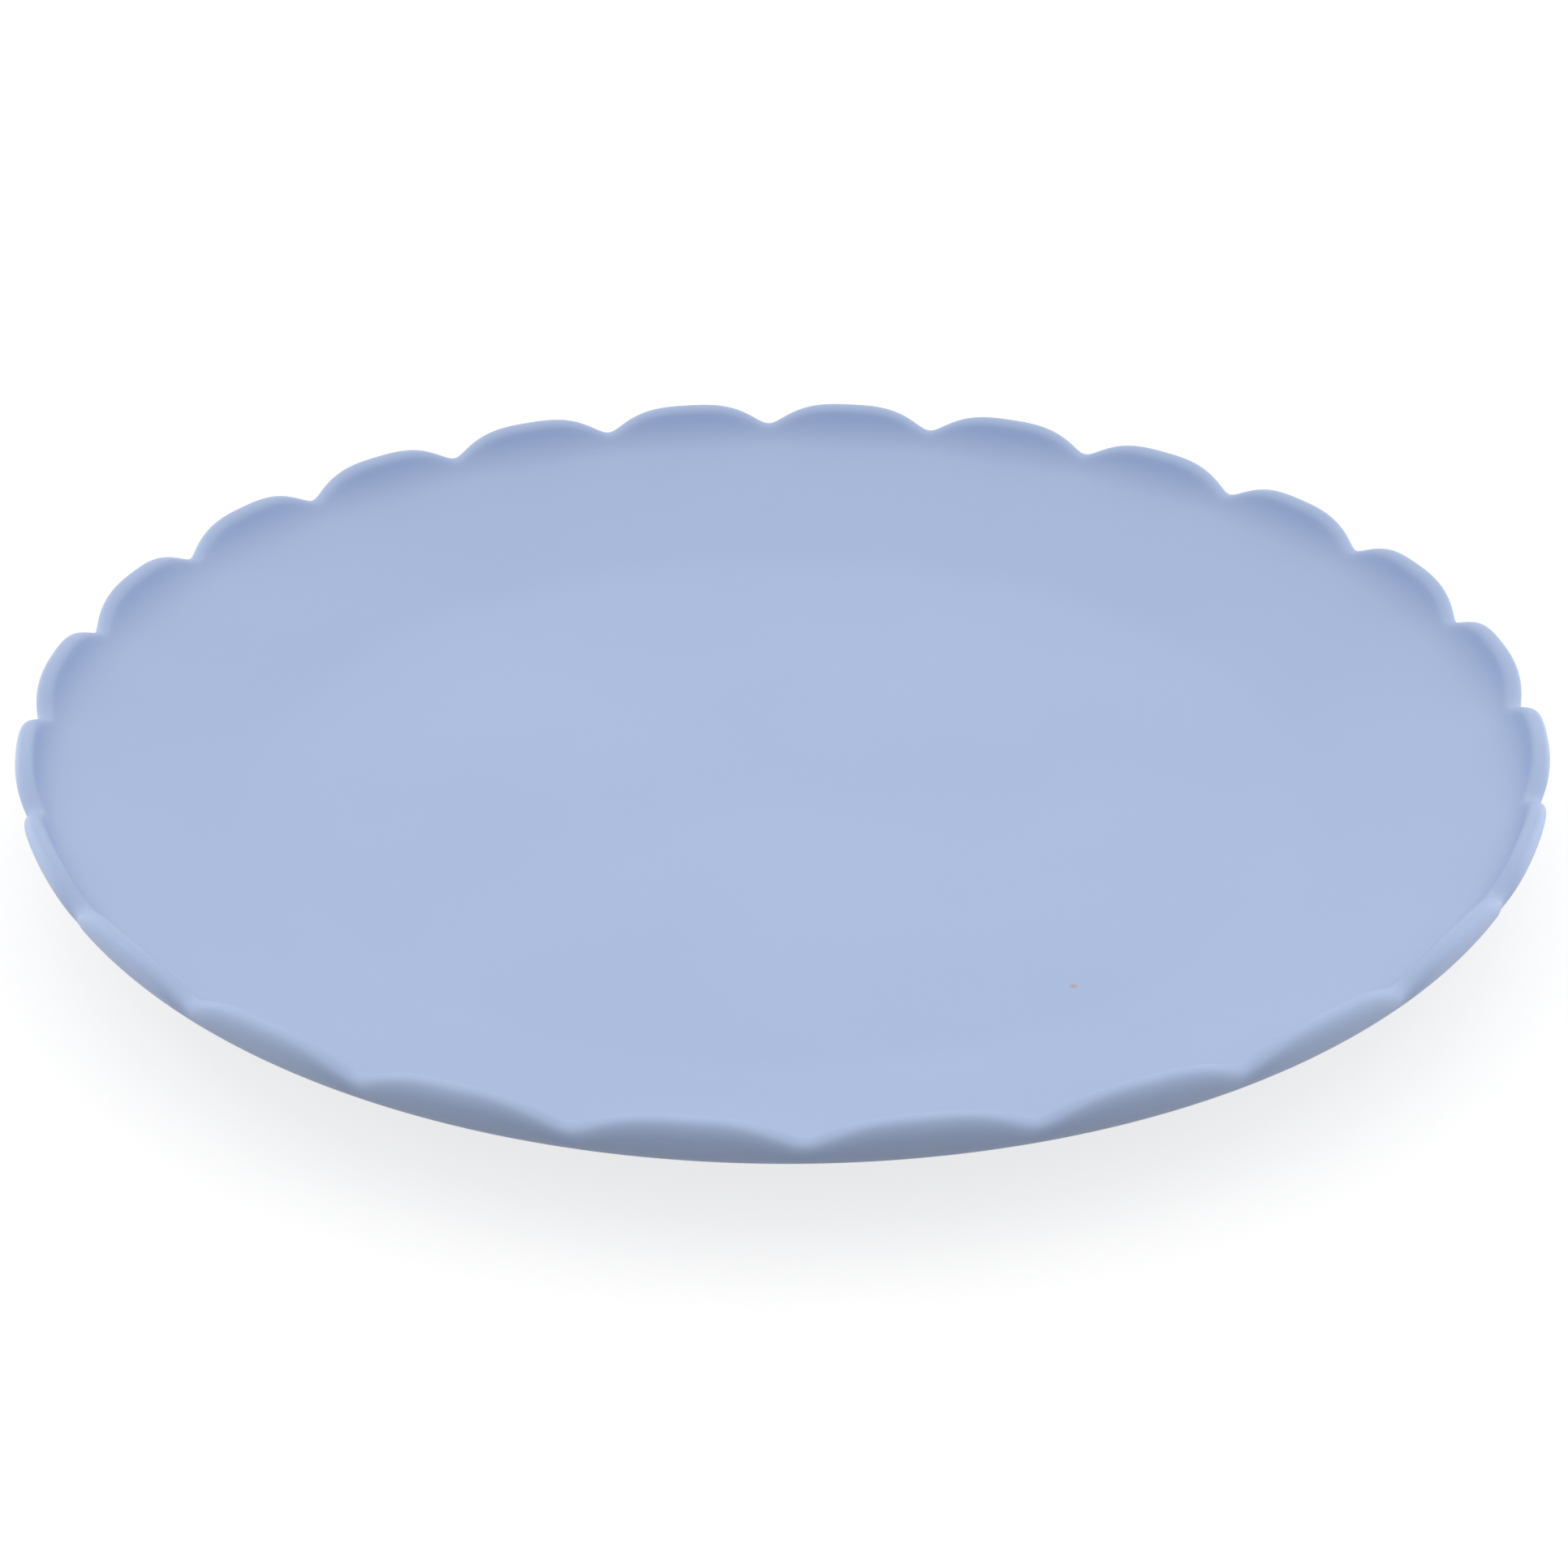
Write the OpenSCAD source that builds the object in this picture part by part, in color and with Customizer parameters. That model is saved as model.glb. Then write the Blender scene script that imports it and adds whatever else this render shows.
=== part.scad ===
// Scalloped dinner plate, moulded in one piece.
//
// A flat well, a straight flank that rises from it, and an upturned rim whose edge is trimmed to a
// ring of scallops. The rim bends through an arc, so a notch is both lower and nearer the centre
// than a scallop's tip. The wall narrows to a rounded lip, a half ellipse, all the way along the trim.
//
// Lengths are in millimetres and angles in degrees. The plate stands on z = 0, centred on the z axis,
// with a scallop tip on +X.

/* [Plate] */
// Diameter across opposite scallop tips
overall_d = 267; // [220:1:320]
// Height of the scallop tips above the table
overall_h = 24.8; // [22:0.1:34]
// Thickness of the moulding
wall = 3.5; // [2:0.1:4.5]
// Diameter of the flat well, to the middle of its blend into the flank
well_d = 184; // [120:1:190]
// Radius that blends the well into the flank, on the upper face
well_blend = 36; // [10:1:50]
// Inside radius of the bend between the flank and the upright rim
rim_r = 7.6; // [5:0.1:10]
// Lean of the rim at a scallop's tip, outwards from upright
rim_lean = 12; // [3:1:20]
// Height of the rounded lip, from where the wall starts to narrow
lip_h = 2.7; // [1.5:0.1:4]

/* [Scallops] */
// Number of scallops round the rim
scallops = 24; // [12:1:36]
// Depth of a notch below the scallop tips
scallop_depth = 3.9; // [1:0.1:5]
// Fullness of a scallop: 2 is an even arch, and more is flatter on top with steeper sides
scallop_fullness = 3; // [2:0.1:5]
// Half width of the rounded bottom of a notch
notch_round = 2.5; // [0.5:0.1:5]

/* [Foot ring] */
// Outer diameter of the foot ring
foot_d = 158; // [80:1:170]
// Width of the face that the foot ring stands on
foot_w = 3; // [2:0.1:8]
// Height of the foot ring below the underside
foot_h = 1.5; // [0.8:0.1:4]
// Draft of the foot ring's sides
foot_draft = 12; // [0:1:30]

/* [Hidden] */
// Sections of the rim along one scallop, an even number
scallop_steps = 10;
// Steps along each arc of the section
blend_steps = 2;
bend_steps = 4;
trim_steps = 2;
lip_steps = 3;
foot_fn = 120;

// Heights of the two flat faces of the base
under_z = foot_h;
well_z = under_z + wall;
// Radii of the rim's bend on its inner face, its middle and its outer face
rim_mid_r = rim_r + wall / 2;
rim_out_r = rim_r + wall;
// Slope of the rim at a scallop's tip, where the lip starts
tip_slope = 90 - rim_lean;
// Angles round the lip of its highest and its outermost point, at a scallop's tip
lip_top = atan2(lip_h * sin(tip_slope), -wall / 2 * cos(tip_slope));
lip_side = atan2(lip_h * cos(tip_slope), wall / 2 * sin(tip_slope));
// Centre of the bend, from which those two points give the plate its height and diameter
bend_c = [
    overall_d / 2 - lip_point([0, 0], tip_slope, lip_side)[0] - rim_mid_r * sin(tip_slope),
    overall_h - lip_point([0, 0], tip_slope, lip_top)[1] + rim_mid_r * cos(tip_slope)
];
// Slope of the flank, which leaves the edge of the well and runs tangent into the bend
well_to_bend = bend_c - [well_d / 2, well_z];
flank = acos(rim_r / norm(well_to_bend)) - atan2(well_to_bend[0], well_to_bend[1]);
// Slope of the rim at the bottom of a notch
notch_slope = acos(cos(tip_slope) + scallop_depth / rim_mid_r);
// Share of half a scallop that the rounded bottom of a notch takes up
notch_share = notch_round * 2 * scallops / (PI * overall_d);

// Point on the lip about the middle c of its base, at angle b from its outer face over its top
function lip_point(c, slope, b) =
    c + wall / 2 * cos(b) * [sin(slope), -cos(slope)] + lip_h * sin(b) * [cos(slope), sin(slope)];

// Point on the bend at radius r, where the wall has the given slope
function bend_point(r, slope) = bend_c + r * [sin(slope), -cos(slope)];

// Point on a concave blend of radius r between level z and the flank, whose corner is at radius c
function blend_point(c, z, r, slope) =
    [c - r * tan(flank / 2) + r * sin(slope), z + r * (1 - cos(slope))];

// Height of the trim along a scallop, from 0 in the notch to 1 at the tip.
// v runs from 0 in the notch to 1 in the middle of the scallop.
function rounded(v) = sqrt(v * v + notch_share * notch_share) - notch_share;
function trim(v) = 1 - pow(1 - min(1, rounded(v) / rounded(1)), scallop_fullness);

// Slope of the rim where it is trimmed
function trim_slope(v) = acos(cos(tip_slope) + (1 - trim(v)) * scallop_depth / rim_mid_r);

// Radius of the corner between the underside and the outer face of the flank
under_corner = well_d / 2 + wall * tan(flank / 2);
// Slope up to which the bend has the same section all round, just below the notches
whole_slope = flank + 0.75 * (notch_slope - flank);

// Values from a to b in n steps, with or without the first one
function steps(a, b, n, first = 0) = [for (i = [first:n]) a + (b - a) * i / n];

// Angles round the lip, from its inner face to its outer one
lip_angles = concat(
    steps(180, lip_top, lip_steps, 1), steps(lip_top, lip_side, lip_steps, 1), [0]
);

// Outline of the wall from the edge of the well, over the lip, to the edge of the underside
function section(v) =
    let (end = trim_slope(v), lip_c = bend_point(rim_mid_r, end))
    concat(
        [for (s = steps(0, flank, blend_steps)) blend_point(well_d / 2, well_z, well_blend, s)],
        [for (s = steps(flank, whole_slope, bend_steps)) bend_point(rim_r, s)],
        [for (s = steps(whole_slope, end, trim_steps, 1)) bend_point(rim_r, s)],
        [for (b = lip_angles) lip_point(lip_c, end, b)],
        [for (s = steps(end, whole_slope, trim_steps, 1)) bend_point(rim_out_r, s)],
        [for (s = steps(whole_slope, flank, bend_steps, 1)) bend_point(rim_out_r, s)],
        [for (s = steps(flank, 0, blend_steps)) blend_point(under_corner, under_z, well_blend + wall, s)]
    );

// Places of the sections along a scallop, as pairs of angle and v, closer together near the notches
function place(i) =
    let (half = scallop_steps / 2, v = pow(min(i, scallop_steps - i) / half, 1.6))
    [(i <= half ? v : 2 - v) * 180 / scallops, v];

// Skin through a ring of sections, closed by the flat faces of the well and the underside
module ring_loft(rings) {
    n = len(rings);
    m = len(rings[0]);
    points = [for (ring = rings) each ring];
    sides = [
        for (i = [0:n - 1], j = [0:m - 2])
            let (a = i * m + j, b = (i + 1) % n * m + j)
            each [[a, b + 1, a + 1], [a, b, b + 1]]
    ];
    well_face = [for (i = [n - 1:-1:0]) i * m];
    under_face = [for (i = [0:n - 1]) i * m + m - 1];
    polyhedron(points, concat([well_face, under_face], sides), convexity = 6);
}

// The dished body with its scalloped rim
module dish() {
    ring_loft([
        for (k = [0:scallops - 1], i = [0:scallop_steps - 1])
            let (at = place(i), a = (k - 0.5) * 360 / scallops + at[0])
            [for (p = section(at[1])) [p[0] * cos(a), p[0] * sin(a), p[1]]]
    ]);
}

// Ring under the well that the plate stands on, sunk half the wall into the base
module foot_ring() {
    top = foot_h + wall / 2;
    lean = top * tan(foot_draft);
    rotate_extrude($fn = foot_fn)
        polygon([
            [foot_d / 2 - lean, 0],
            [foot_d / 2, top],
            [foot_d / 2 - foot_w - 2 * lean, top],
            [foot_d / 2 - foot_w - lean, 0]
        ]);
}

module plate() {
    color("lightsteelblue") {
        dish();
        foot_ring();
    }
}

plate();
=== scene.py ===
"""A scalloped plastic dinner plate on a pale studio floor.

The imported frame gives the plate's overall box. The plate is drawn as one section, spun about its
axis, and its rim is then leaned out in each notch, which trims the lip to a ring of scallops.
"""
import logging
import math
from dataclasses import dataclass
from enum import Enum

import bmesh
import bpy
from mathutils import Matrix, Vector


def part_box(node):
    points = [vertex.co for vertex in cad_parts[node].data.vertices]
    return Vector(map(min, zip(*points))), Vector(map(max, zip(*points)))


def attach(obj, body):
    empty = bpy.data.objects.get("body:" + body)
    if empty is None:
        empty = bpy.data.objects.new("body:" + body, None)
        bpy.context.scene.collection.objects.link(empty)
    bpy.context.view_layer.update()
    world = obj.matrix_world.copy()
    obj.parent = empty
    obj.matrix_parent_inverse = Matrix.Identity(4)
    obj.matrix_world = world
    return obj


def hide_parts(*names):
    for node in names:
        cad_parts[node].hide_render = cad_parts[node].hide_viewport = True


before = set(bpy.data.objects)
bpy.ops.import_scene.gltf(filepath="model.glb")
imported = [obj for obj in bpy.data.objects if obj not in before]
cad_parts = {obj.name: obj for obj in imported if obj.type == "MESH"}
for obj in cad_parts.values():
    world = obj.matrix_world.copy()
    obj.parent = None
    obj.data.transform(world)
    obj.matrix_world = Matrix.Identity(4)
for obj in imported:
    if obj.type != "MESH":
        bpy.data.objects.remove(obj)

LOG = logging.getLogger("plate_scene")
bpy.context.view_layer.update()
MM = 0.001
WHITE = (1.0, 1.0, 1.0, 1.0)
Colour = tuple[float, float, float, float]


class Part(str, Enum):
    """Names that tie the plate to the frame."""

    NODE = "plate"
    BODY = "root"
    SLOT = "plate_plastic"


@dataclass(frozen=True)
class PlateSizes:
    """Sizes of the plate, beside the overall box that the frame gives.

    Lengths are in metres, and the lean and the draft in degrees.
    """

    overall_d: float
    overall_h: float
    base: float = 3.5 * MM
    wall: float = 3.5 * MM
    well_d: float = 184.0 * MM
    well_blend: float = 36.0 * MM
    rim_r: float = 7.585 * MM
    rim_lean: float = 13.0
    lip_crest: float = 1.9 * MM
    lip_in_h: float = 1.9 * MM
    lip_out_h: float = 2.8 * MM
    foot_d: float = 158.0 * MM
    foot_w: float = 3.0 * MM
    foot_h: float = 1.5 * MM
    foot_draft: float = 12.0
    foot_round: float = 0.6 * MM

    @property
    def well_z(self) -> float:
        """Height of the well's upper face."""
        return self.foot_h + self.base

    @property
    def rim_mid(self) -> float:
        """Radius of the rim's bend, at the middle of the wall."""
        return self.rim_r + self.wall / 2

    @property
    def tip_slope(self) -> float:
        """Slope of the rim where its lip starts at a scallop's tip."""
        return math.radians(90.0 - self.rim_lean)

    @property
    def across(self) -> Vector:
        """Direction outwards through the wall at a scallop's tip, as a radius and a height."""
        return Vector((math.sin(self.tip_slope), -math.cos(self.tip_slope)))

    @property
    def along(self) -> Vector:
        """Direction up along the wall at a scallop's tip, as a radius and a height."""
        return Vector((math.cos(self.tip_slope), math.sin(self.tip_slope)))

    @property
    def crest(self) -> Vector:
        """The lip's crest, from the middle of the wall where the lip starts."""
        height = max(self.lip_in_h, self.lip_out_h)
        return self.across * (self.lip_crest - self.wall / 2) + self.along * height

    @property
    def bend(self) -> Vector:
        """Centre of the rim's bend, which puts the lip at the plate's full height and radius."""
        along = self.along
        side = self.crest - along * self.lip_out_h
        top = self.crest - along * self.lip_in_h
        outer_w = self.wall - self.lip_crest
        reach = side.x + math.hypot(outer_w * along.y, self.lip_out_h * along.x)
        rise = top.y + math.hypot(self.lip_crest * along.x, self.lip_in_h * along.y)
        lip_start = Vector((self.overall_d / 2 - reach, self.overall_h - rise))
        return lip_start - self.across * self.rim_mid

    def slope(self, corner_r: float, corner_z: float, bend_r: float) -> float:
        """Slope of a face that leaves a corner of the base and runs tangent into the bend.

        Args:
            corner_r: Radius of the corner from the plate's axis.
            corner_z: Height of the corner.
            bend_r: Radius of the bend on that face.

        Returns:
            The angle from level.
        """
        across, up = self.bend - Vector((corner_r, corner_z))
        return math.acos(bend_r / math.hypot(across, up)) - math.atan2(across, up)

    @property
    def flank(self) -> float:
        """Slope of the flank's upper face."""
        return self.slope(self.well_d / 2, self.well_z, self.rim_r)

    @property
    def under_corner(self) -> float:
        """Radius of the corner between the underside and the flank's outer face."""
        return self.well_d / 2 + self.base * math.tan(self.flank / 2)

    @property
    def under_flank(self) -> float:
        """Slope of the flank's outer face."""
        return self.slope(self.under_corner, self.foot_h, self.rim_r + self.wall)


@dataclass(frozen=True)
class Scallops:
    """The wave that trims the rim."""

    count: int = 24
    depth: float = 3.815 * MM
    fullness: float = 3.008
    notch_round: float = 2.526 * MM

    def height(self, turn: float, around: float) -> float:
        """Height of the trim, from 0 in a notch to 1 at a tip.

        Args:
            turn: Angle about the plate's axis, with a tip at 0.
            around: Length of the rim's whole circumference.

        Returns:
            The height as a share of the depth.
        """
        share = self.notch_round * 2 * self.count / around
        phase = turn * self.count / (2 * math.pi) % 1.0
        v = abs(2 * phase - 1)

        def rounded(x: float) -> float:
            return math.hypot(x, share) - share

        return 1 - (1 - rounded(v) / rounded(1.0)) ** self.fullness


@dataclass(frozen=True)
class MeshSteps:
    """Numbers of pieces that the plate's lines and curves are cut into."""

    well: int = 8
    well_blend: int = 10
    flank: int = 6
    bend: int = 16
    lip_quarter: int = 9
    under_flank: int = 4
    under_blend: int = 6
    foot_edge: int = 4
    underside: int = 4
    scallop: int = 36


class SectionPen:
    """Draws a wire in the plane of the X and Z axes, as the outline of a section."""

    def __init__(self, mesh: bmesh.types.BMesh, r: float, z: float) -> None:
        """Starts the wire at radius r and height z."""
        self.mesh = mesh
        self.tip = mesh.verts.new((r, 0.0, z))

    def line(self, r: float, z: float, steps: int = 1) -> None:
        """Draws a straight line to radius r and height z.

        Args:
            r: Radius of the line's end.
            z: Height of the line's end.
            steps: Number of pieces that the line is cut into.
        """
        stride = (Vector((r, 0.0, z)) - self.tip.co) / steps
        for _ in range(steps):
            new = bmesh.ops.extrude_vert_indiv(self.mesh, verts=[self.tip])["verts"]
            bmesh.ops.translate(self.mesh, verts=new, vec=stride)
            self.tip = new[0]

    def arc(self, r: float, z: float, turn: float, steps: int) -> None:
        """Swings the wire's end round a centre.

        Args:
            r: Radius of the arc's centre from the plate's axis.
            z: Height of the arc's centre.
            turn: Angle to swing through, positive from +X towards +Z.
            steps: Number of pieces that the arc is cut into.
        """
        swung = bmesh.ops.spin(
            self.mesh, geom=[self.tip], cent=(r, 0.0, z), axis=(0.0, 1.0, 0.0),
            angle=-turn, steps=steps,
        )
        self.tip = next(e for e in swung["geom_last"] if isinstance(e, bmesh.types.BMVert))

    def oval(self, centre: Vector, lean: float, across: float, along: float, steps: int) -> None:
        """Swings the wire's end a quarter turn outwards over an oval.

        Args:
            centre: The oval's centre, as a radius and a height.
            lean: Angle by which the oval leans outwards from upright.
            across: Stretch of the quarter circle across the lean.
            along: Stretch of the quarter circle along the lean.
            steps: Number of pieces that the curve is cut into.
        """
        start = len(self.mesh.verts)
        self.arc(centre.x, centre.y, -math.pi / 2, steps)
        curve = list(self.mesh.verts)[start:]
        space = Matrix.Rotation(-lean, 4, "Y") @ Matrix.Translation((-centre.x, 0.0, -centre.y))
        bmesh.ops.scale(self.mesh, verts=curve, vec=(across, 1.0, along), space=space)


@dataclass(frozen=True)
class PlasticFinish:
    """Through-coloured moulded plastic, satin, with a fine mould grain. Lengths in metres."""

    colour: Colour = (0.409, 0.512, 0.748, 1.0)
    drift: float = 0.012
    drift_size: float = 70.0 * MM
    drift_detail: float = 2.0
    drift_span: tuple[float, float] = (0.3, 0.7)
    grain_size: float = 0.45 * MM
    grain_depth: float = 0.004 * MM
    grain_detail: float = 3.0
    grain_span: tuple[float, float] = (0.25, 0.75)
    roughness: tuple[float, float] = (0.46, 0.56)
    specular: float = 0.35
    polish: float = 0.05
    polish_below_top: tuple[float, float] = (6.0 * MM, 1.0 * MM)
    scuff: float = 0.12
    scuff_height: float = 0.35 * MM
    scuff_paling: float = 0.06
    fleck_colour: Colour = (0.45, 0.36, 0.33, 1.0)
    fleck_strength: float = 0.9
    fleck_place: tuple[float, float, float] = (0.0540, -0.0603, 0.005)
    fleck_radius: tuple[float, float] = (0.2 * MM, 0.9 * MM)

    def material(self, sizes: PlateSizes) -> bpy.types.Material:
        """Makes the plastic's material.

        Args:
            sizes: The plate's sizes, whose height places the polish on the lip.

        Returns:
            The material, ready for a piece's slot.
        """
        material = bpy.data.materials.new("periwinkle_plastic")
        material.use_nodes = True
        tree = material.node_tree
        shader = tree.nodes["Principled BSDF"]
        shader.inputs["Specular IOR Level"].default_value = self.specular
        place = tree.nodes.new("ShaderNodeTexCoord").outputs["Object"]
        height = tree.nodes.new("ShaderNodeSeparateXYZ")
        tree.links.new(place, height.inputs["Vector"])
        grain = self.noise(tree, place, self.grain_size, self.grain_detail)
        cloud = self.noise(tree, place, self.drift_size, self.drift_detail)
        foot = self.ramp(tree, height.outputs["Z"], (self.scuff_height, 0.0))
        low, high = (sizes.overall_h - below for below in self.polish_below_top)
        lip = self.ramp(tree, height.outputs["Z"], (low, high))
        self.tint(tree, shader, place, cloud, foot)
        self.sheen(tree, shader, grain, lip, foot)
        bump = tree.nodes.new("ShaderNodeBump")
        bump.inputs["Strength"].default_value = 1.0
        bump.inputs["Distance"].default_value = self.grain_depth
        tree.links.new(grain, bump.inputs["Height"])
        tree.links.new(bump.outputs["Normal"], shader.inputs["Normal"])
        return material

    def noise(self, tree: bpy.types.NodeTree, place: bpy.types.NodeSocket, size: float,
              detail: float) -> bpy.types.NodeSocket:
        """Adds an even noise.

        Args:
            tree: The material's nodes.
            place: The coordinates that the noise is laid on.
            size: Length of one wave of the noise.
            detail: Number of finer layers on it.

        Returns:
            The noise's value, from 0 to 1.
        """
        node = tree.nodes.new("ShaderNodeTexNoise")
        node.inputs["Scale"].default_value = 1.0 / size
        node.inputs["Detail"].default_value = detail
        tree.links.new(place, node.inputs["Vector"])
        return node.outputs["Fac"]

    def ramp(self, tree: bpy.types.NodeTree, value: bpy.types.NodeSocket,
             span: tuple[float, float],
             result: tuple[float, float] = (0.0, 1.0)) -> bpy.types.NodeSocket:
        """Adds a clamped smooth ramp.

        Args:
            tree: The material's nodes.
            value: The value that the ramp reads.
            span: The values at which the ramp starts and ends.
            result: What it gives there.

        Returns:
            The ramp's value.
        """
        node = tree.nodes.new("ShaderNodeMapRange")
        node.interpolation_type = "SMOOTHSTEP"
        for name, number in zip(("From Min", "From Max", "To Min", "To Max"), span + result):
            node.inputs[name].default_value = number
        tree.links.new(value, node.inputs["Value"])
        return node.outputs["Result"]

    def tint(self, tree: bpy.types.NodeTree, shader: bpy.types.ShaderNode,
             place: bpy.types.NodeSocket, cloud: bpy.types.NodeSocket,
             foot: bpy.types.NodeSocket) -> None:
        """Colours the plastic, with a faint drift of tone, a scuffed foot and one moulded-in fleck.

        Args:
            tree: The material's nodes.
            shader: The material's shader.
            place: Coordinates on the plate.
            cloud: A broad noise.
            foot: Mask of the face that the plate stands on.
        """
        dark = tuple(c * (1 - self.drift) for c in self.colour[:3]) + (1.0,)
        light = tuple(c * (1 + self.drift) for c in self.colour[:3]) + (1.0,)
        worn = tuple(min(1.0, c + self.scuff_paling) for c in self.colour[:3]) + (1.0,)
        tone = self.mix(tree, self.ramp(tree, cloud, self.drift_span), dark, light)
        tone = self.mix(tree, foot, tone, worn)
        away = tree.nodes.new("ShaderNodeVectorMath")
        away.operation = "DISTANCE"
        away.inputs[1].default_value = self.fleck_place
        tree.links.new(place, away.inputs[0])
        fleck = self.ramp(tree, away.outputs["Value"], self.fleck_radius,
                          (self.fleck_strength, 0.0))
        tree.links.new(self.mix(tree, fleck, tone, self.fleck_colour), shader.inputs["Base Color"])

    def mix(self, tree: bpy.types.NodeTree, share: bpy.types.NodeSocket,
            first: Colour | bpy.types.NodeSocket,
            second: Colour | bpy.types.NodeSocket) -> bpy.types.NodeSocket:
        """Mixes two colours.

        Args:
            tree: The material's nodes.
            share: How much of the second colour shows.
            first: A colour, or the socket of one.
            second: A colour, or the socket of one.

        Returns:
            The mixed colour.
        """
        node = tree.nodes.new("ShaderNodeMix")
        node.data_type = "RGBA"
        tree.links.new(share, node.inputs["Factor"])
        for name, colour in (("A_Color", first), ("B_Color", second)):
            slot = next(i for i in node.inputs if i.identifier == name)
            if isinstance(colour, bpy.types.NodeSocket):
                tree.links.new(colour, slot)
            else:
                slot.default_value = colour
        return next(o for o in node.outputs if o.identifier == "Result_Color")

    def sheen(self, tree: bpy.types.NodeTree, shader: bpy.types.ShaderNode,
              grain: bpy.types.NodeSocket, lip: bpy.types.NodeSocket,
              foot: bpy.types.NodeSocket) -> None:
        """Varies the gloss: by the grain, smoother on the handled lip, duller on the scuffed foot.

        Args:
            tree: The material's nodes.
            shader: The material's shader.
            grain: The mould grain.
            lip: Mask of the lip.
            foot: Mask of the face that the plate stands on.
        """
        value = self.ramp(tree, grain, self.grain_span, self.roughness)
        for mask, change in ((lip, -self.polish), (foot, self.scuff)):
            node = tree.nodes.new("ShaderNodeMath")
            node.operation = "MULTIPLY_ADD"
            node.inputs[1].default_value = change
            tree.links.new(mask, node.inputs[0])
            tree.links.new(value, node.inputs[2])
            value = node.outputs["Value"]
        tree.links.new(value, shader.inputs["Roughness"])


@dataclass(frozen=True)
class Plate:
    """The moulded plate.

    Points closer than the weld are merged. The slack lets points just outside the rim's outer face
    still lean with it.
    """

    sizes: PlateSizes
    scallops: Scallops = Scallops()
    finish: PlasticFinish = PlasticFinish()
    steps: MeshSteps = MeshSteps()
    weld: float = 0.001 * MM
    rim_slack: float = 1.01

    def build(self) -> bpy.types.Object:
        """Makes the plate's mesh and its object.

        Returns:
            The plate, in place, with smooth faces.
        """
        mesh = bmesh.new()
        self.draw_section(mesh)
        sector = 2 * math.pi / self.scallops.count
        bmesh.ops.spin(
            mesh, geom=mesh.verts[:] + mesh.edges[:], cent=(0, 0, 0), axis=(0, 0, 1),
            angle=sector, steps=self.steps.scallop,
        )
        self.lean_rim(mesh)
        bmesh.ops.spin(
            mesh, geom=mesh.verts[:] + mesh.edges[:] + mesh.faces[:], cent=(0, 0, 0),
            axis=(0, 0, 1), angle=2 * math.pi - sector, steps=self.scallops.count - 1,
            use_duplicate=True,
        )
        bmesh.ops.remove_doubles(mesh, verts=mesh.verts[:], dist=self.weld)
        bmesh.ops.recalc_face_normals(mesh, faces=mesh.faces[:])
        for face in mesh.faces:
            face.smooth = True
        data = bpy.data.meshes.new("scalloped_plate")
        mesh.to_mesh(data)
        mesh.free()
        plate = bpy.data.objects.new("scalloped_plate", data)
        bpy.context.scene.collection.objects.link(plate)
        return plate

    def draw_section(self, mesh: bmesh.types.BMesh) -> None:
        """Draws the section through a scallop's tip, from the axis over the lip and back.

        Args:
            mesh: The mesh that takes the wire.
        """
        s, steps = self.sizes, self.steps
        flank, under, tip = s.flank, s.under_flank, s.tip_slope
        bend_r, bend_z = s.bend
        under_blend = s.well_blend + s.base
        well_edge = s.well_d / 2 - s.well_blend * math.tan(flank / 2)
        under_edge = s.under_corner - under_blend * math.tan(under / 2)

        pen = SectionPen(mesh, 0.0, s.well_z)
        pen.line(well_edge, s.well_z, steps.well)
        pen.arc(well_edge, s.well_z + s.well_blend, flank, steps.well_blend)
        pen.line(bend_r + s.rim_r * math.sin(flank), bend_z - s.rim_r * math.cos(flank),
                 steps.flank)
        pen.arc(bend_r, bend_z, tip - flank, steps.bend)
        self.draw_lip(pen)
        pen.arc(bend_r, bend_z, under - tip, steps.bend)
        pen.line(under_edge + under_blend * math.sin(under),
                 s.foot_h + under_blend * (1 - math.cos(under)), steps.under_flank)
        pen.arc(under_edge, s.foot_h + under_blend, -under, steps.under_blend)
        self.draw_foot(pen)
        pen.line(0.0, s.foot_h, steps.underside)

    def draw_lip(self, pen: SectionPen) -> None:
        """Draws the rounded lip from the rim's inner face over its top, fuller inside than outside.

        Args:
            pen: The pen, on the inner face where the lip starts.
        """
        s, quarter = self.sizes, self.steps.lip_quarter
        lean = math.radians(s.rim_lean)
        base = s.bend + s.across * s.rim_mid
        crest = base + s.crest
        inside = crest - s.along * s.lip_in_h
        outside = crest - s.along * s.lip_out_h
        pen.line(*(inside - s.across * s.lip_crest))
        pen.oval(inside, lean, 1.0, s.lip_in_h / s.lip_crest, quarter)
        pen.oval(outside, lean, (s.wall - s.lip_crest) / s.lip_out_h, 1.0, quarter)
        pen.line(*(base + s.across * s.wall / 2))

    def draw_foot(self, pen: SectionPen) -> None:
        """Draws the drafted foot ring, with rounded edges and fillets, from its outside inwards.

        Args:
            pen: The pen, on the underside outside the ring.
        """
        s, steps = self.sizes, self.steps.foot_edge
        r = s.foot_round
        draft = math.radians(s.foot_draft)
        turn = math.pi / 2 - draft
        side_r, side_z = r * math.cos(draft), r * math.sin(draft)
        edge = (r - side_z) / math.cos(draft)
        fillet = (r + (s.foot_h - r) * math.sin(draft)) / math.cos(draft)
        outside = s.foot_d / 2 - (s.foot_h + s.base / 2) * math.tan(draft)
        inside = outside - s.foot_w
        pen.line(outside + fillet, s.foot_h)
        pen.arc(outside + fillet, s.foot_h - r, turn, steps)
        pen.line(outside - edge + side_r, r - side_z)
        pen.arc(outside - edge, r, -turn, steps)
        pen.line(inside + edge, 0.0)
        pen.arc(inside + edge, r, -turn, steps)
        pen.line(inside - fillet + side_r, s.foot_h - r + side_z)
        pen.arc(inside - fillet, s.foot_h - r, turn, steps)

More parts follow.
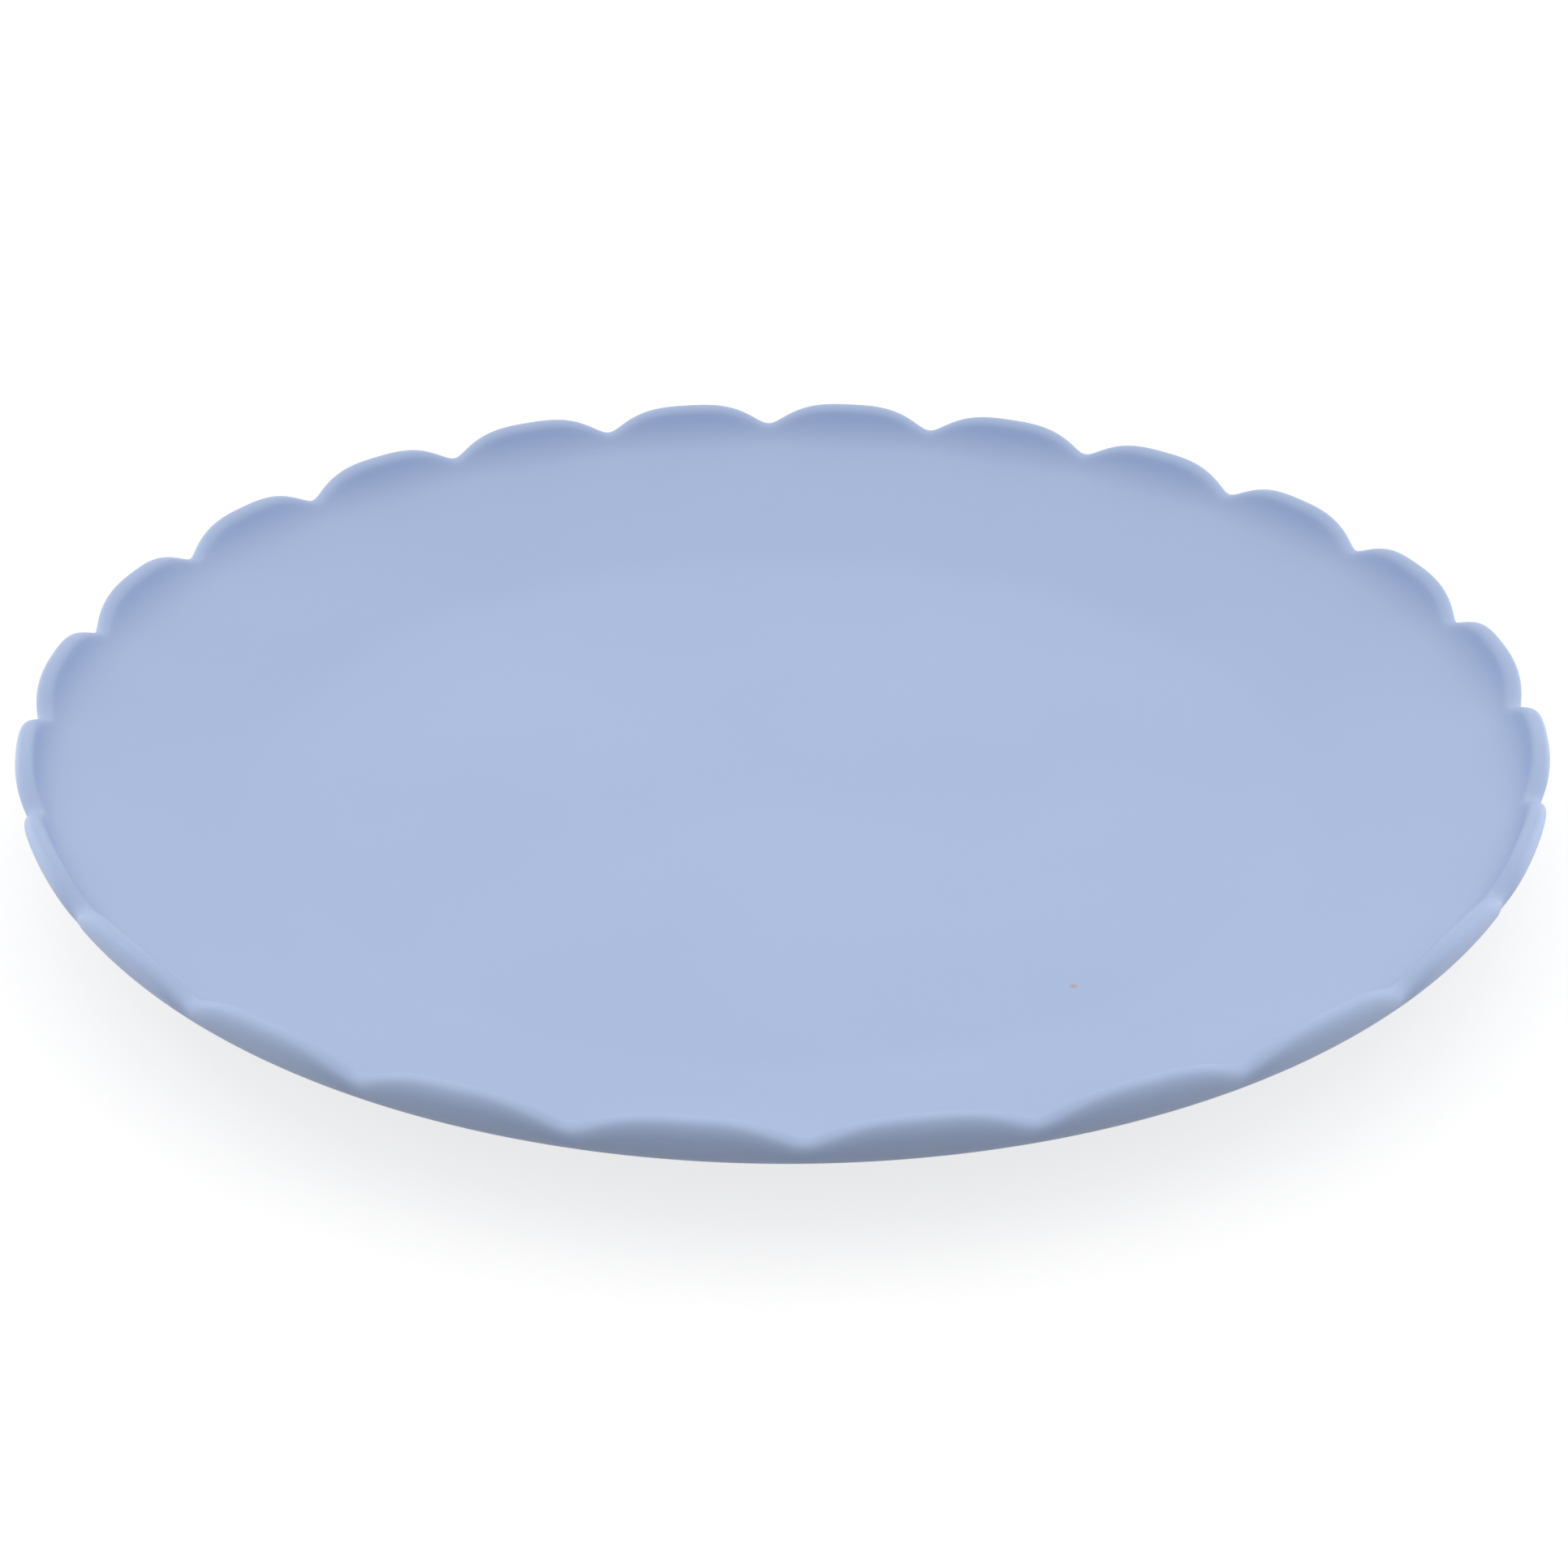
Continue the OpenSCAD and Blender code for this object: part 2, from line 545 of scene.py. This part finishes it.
    def lean_rim(self, mesh: bmesh.types.BMesh) -> None:
        """Leans the rim outwards about its bend, up to the full scallop depth in each notch.

        Args:
            mesh: The spun section, from one scallop's tip to the next.
        """
        s = self.sizes
        bend_r, bend_z = s.bend
        around = math.pi * s.overall_d
        rim_reach = s.rim_r + s.wall * self.rim_slack
        for vert in mesh.verts:
            r = math.hypot(vert.co.x, vert.co.y)
            arm = Vector((r - bend_r, vert.co.z - bend_z))
            slope = math.atan2(arm.x, -arm.y)
            if arm.length > rim_reach or slope < s.flank or r < bend_r:
                continue
            turn = math.atan2(vert.co.y, vert.co.x)
            drop = (1 - self.scallops.height(turn, around)) * self.scallops.depth
            lean = s.tip_slope - math.acos(math.cos(s.tip_slope) + drop / s.rim_mid)
            slope -= lean * min(1.0, (slope - s.flank) / (s.tip_slope - s.flank))
            r = bend_r + arm.length * math.sin(slope)
            vert.co = (r * math.cos(turn), r * math.sin(turn),
                       bend_z - arm.length * math.cos(slope))

    def dress(self, plate: bpy.types.Object) -> None:
        """Gives the plate its finish and its place in the frame.

        Args:
            plate: The plate's object.
        """
        plate.data.materials.append(self.finish.material(self.sizes))
        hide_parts(Part.NODE.value)
        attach(plate, Part.BODY.value)
        LOG.info("plate: %d faces", len(plate.data.polygons))


@dataclass(frozen=True)
class PhotoCamera:
    """The camera, as the photograph was taken. Lengths in metres, angles in degrees."""

    turn: float = 6.0536
    elevation: float = 28.0127
    distance: float = 0.579436
    centre_z: float = 0.019
    pitch: float = -1.1408
    yaw: float = -0.017
    roll: float = 0.209
    focal_px: float = 4010.5
    image_px: float = 1932.0
    sensor_mm: float = 36.0
    nearest: float = 0.01

    def build(self) -> None:
        """Makes the camera and gives it to the scene."""
        data = bpy.data.cameras.new("photo_camera")
        data.sensor_width = self.sensor_mm
        data.lens = self.focal_px / self.image_px * self.sensor_mm
        data.clip_start = self.nearest
        camera = bpy.data.objects.new("photo_camera", data)
        up = math.radians(self.elevation)
        place = Vector((0.0, -math.cos(up), math.sin(up))) * self.distance
        tilt = math.pi / 2 - up + math.radians(self.pitch)
        camera.matrix_world = (
            Matrix.Rotation(math.radians(self.turn), 4, "Z")
            @ Matrix.Translation(place + Vector((0.0, 0.0, self.centre_z)))
            @ Matrix.Rotation(tilt, 4, "X")
            @ Matrix.Rotation(math.radians(self.yaw), 4, "Y")
            @ Matrix.Rotation(math.radians(self.roll), 4, "Z")
        )
        bpy.context.scene.collection.objects.link(camera)
        bpy.context.scene.camera = camera


class LampKind(str, Enum):
    """The kinds of lamp in the studio: broad light from the sky, and lit cards on the floor."""

    DOME = "dome"
    CARD = "card"


@dataclass(frozen=True)
class Lamp:
    """A white studio lamp, placed round the plate as the photographer sees it.

    The turn is 0 behind the plate, 90 on the right and 180 on the camera's side. A paired lamp also
    stands at the same turn on the left. The height is an angle above the floor for broad light, and
    a length for a card. Angles in degrees, lengths in metres.
    """

    name: str
    kind: LampKind
    turn: float
    height: float
    power: float
    paired: bool = False
    spread: float = 50.0
    distance: float = 0.45
    size: tuple[float, float] = (0.5, 0.4)

    def build(self, facing: float) -> None:
        """Makes the lamp, and its twin if it is paired.

        Args:
            facing: Turn of the camera about the plate's axis.
        """
        broad = self.kind is LampKind.DOME
        for side in (1.0, -1.0) if self.paired else (1.0,):
            data = bpy.data.lights.new(self.name, "SUN" if broad else "AREA")
            data.energy = self.power
            if broad:
                data.angle = math.radians(self.spread)
            else:
                data.shape = "RECTANGLE"
                data.size, data.size_y = self.size
            lamp = bpy.data.objects.new(self.name, data)
            lamp.visible_camera = False
            lamp.visible_glossy = broad
            lamp.matrix_world = self.place(side, facing)
            bpy.context.scene.collection.objects.link(lamp)

    def place(self, side: float, facing: float) -> Matrix:
        """Works out where the lamp stands. Broad light faces the plate, and a card faces up.

        Args:
            side: 1 for the lamp itself and -1 for its twin.
            facing: Turn of the camera about the plate's axis.

        Returns:
            The lamp's matrix.
        """
        around = Matrix.Rotation(math.radians(facing - side * self.turn), 4, "Z")
        if self.kind is LampKind.DOME:
            return around @ Matrix.Rotation(math.radians(self.height - 90.0), 4, "X")
        spot = Matrix.Translation((0.0, self.distance, self.height))
        return around @ spot @ Matrix.Rotation(math.pi, 4, "X")


@dataclass(frozen=True)
class Studio:
    """The pale floor and the soft light round the plate."""

    facing: float
    floor_size: float = 8.0
    floor_colour: Colour = (0.3, 0.3, 0.3, 1.0)
    floor_roughness: float = 0.9
    floor_glow: float = 0.76
    sky: float = 0.604
    lamps: tuple[Lamp, ...] = (
        Lamp("back_glow", LampKind.DOME, turn=0.0, height=18.0, power=0.187),
        Lamp("back_corners", LampKind.DOME, turn=45.0, height=45.0, power=0.121, paired=True),
        Lamp("sides", LampKind.DOME, turn=90.0, height=45.0, power=0.245, paired=True),
        Lamp("front_corners", LampKind.DOME, turn=135.0, height=45.0, power=0.071, paired=True),
        Lamp("overhead_back", LampKind.DOME, turn=0.0, height=75.0, power=0.236),
        Lamp("overhead_front", LampKind.DOME, turn=180.0, height=75.0, power=0.13),
        Lamp("corner_cards", LampKind.CARD, turn=60.0, height=4.0 * MM, power=1.845, paired=True),
        Lamp("side_cards", LampKind.CARD, turn=90.0, height=4.0 * MM, power=5.4, paired=True),
    )

    def build(self) -> None:
        """Makes the floor and the light."""
        self.build_floor()
        self.build_sky()
        for lamp in self.lamps:
            lamp.build(self.facing)

    def build_floor(self) -> None:
        """Lays the floor that the plate stands on, which shows white but for the plate's shadow."""
        mesh = bmesh.new()
        bmesh.ops.create_grid(mesh, x_segments=1, y_segments=1, size=self.floor_size / 2)
        data = bpy.data.meshes.new("floor")
        mesh.to_mesh(data)
        mesh.free()
        floor = bpy.data.objects.new("floor", data)
        bpy.context.scene.collection.objects.link(floor)
        material = bpy.data.materials.new("pale_floor")
        material.use_nodes = True
        tree = material.node_tree
        shader = tree.nodes["Principled BSDF"]
        shader.inputs["Base Color"].default_value = self.floor_colour
        shader.inputs["Roughness"].default_value = self.floor_roughness
        shader.inputs["Emission Color"].default_value = WHITE
        shown = self.shown(tree)
        glow = tree.nodes.new("ShaderNodeMath")
        glow.operation = "MULTIPLY"
        glow.inputs[1].default_value = self.floor_glow
        tree.links.new(shown, glow.inputs[0])
        tree.links.new(glow.outputs["Value"], shader.inputs["Emission Strength"])
        data.materials.append(material)

    def shown(self, tree: bpy.types.NodeTree) -> bpy.types.NodeSocket:
        """Adds a switch for rays that show the background, straight or in a reflection.

        Args:
            tree: The nodes of a material or of the world.

        Returns:
            1 for a camera, glossy or transmission ray, and otherwise 0.
        """
        path = tree.nodes.new("ShaderNodeLightPath")
        value = path.outputs["Is Camera Ray"]
        for name in ("Is Glossy Ray", "Is Transmission Ray"):
            node = tree.nodes.new("ShaderNodeMath")
            node.operation = "MAXIMUM"
            tree.links.new(value, node.inputs[0])
            tree.links.new(path.outputs[name], node.inputs[1])
            value = node.outputs["Value"]
        return value

    def build_sky(self) -> None:
        """Sets the even light from all round, and a white background."""
        world = bpy.data.worlds.new("studio")
        world.use_nodes = True
        tree = world.node_tree
        sky = tree.nodes["Background"]
        sky.inputs["Color"].default_value = WHITE
        level = tree.nodes.new("ShaderNodeMapRange")
        level.inputs["To Min"].default_value = self.sky
        level.inputs["To Max"].default_value = 1.0
        tree.links.new(self.shown(tree), level.inputs["Value"])
        tree.links.new(level.outputs["Result"], sky.inputs["Strength"])
        bpy.context.scene.world = world


def main() -> None:
    """Builds the plate, the camera and the studio, in turn."""
    logging.basicConfig(level=logging.INFO)
    low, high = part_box(Part.NODE.value)
    sizes = PlateSizes(overall_d=high[0] - low[0], overall_h=high[2] - low[2])
    plate = Plate(sizes)
    plate.dress(plate.build())
    camera = PhotoCamera()
    camera.build()
    Studio(camera.turn).build()
    bpy.context.scene.view_settings.view_transform = "Standard"


if __name__ == "__main__":
    main()
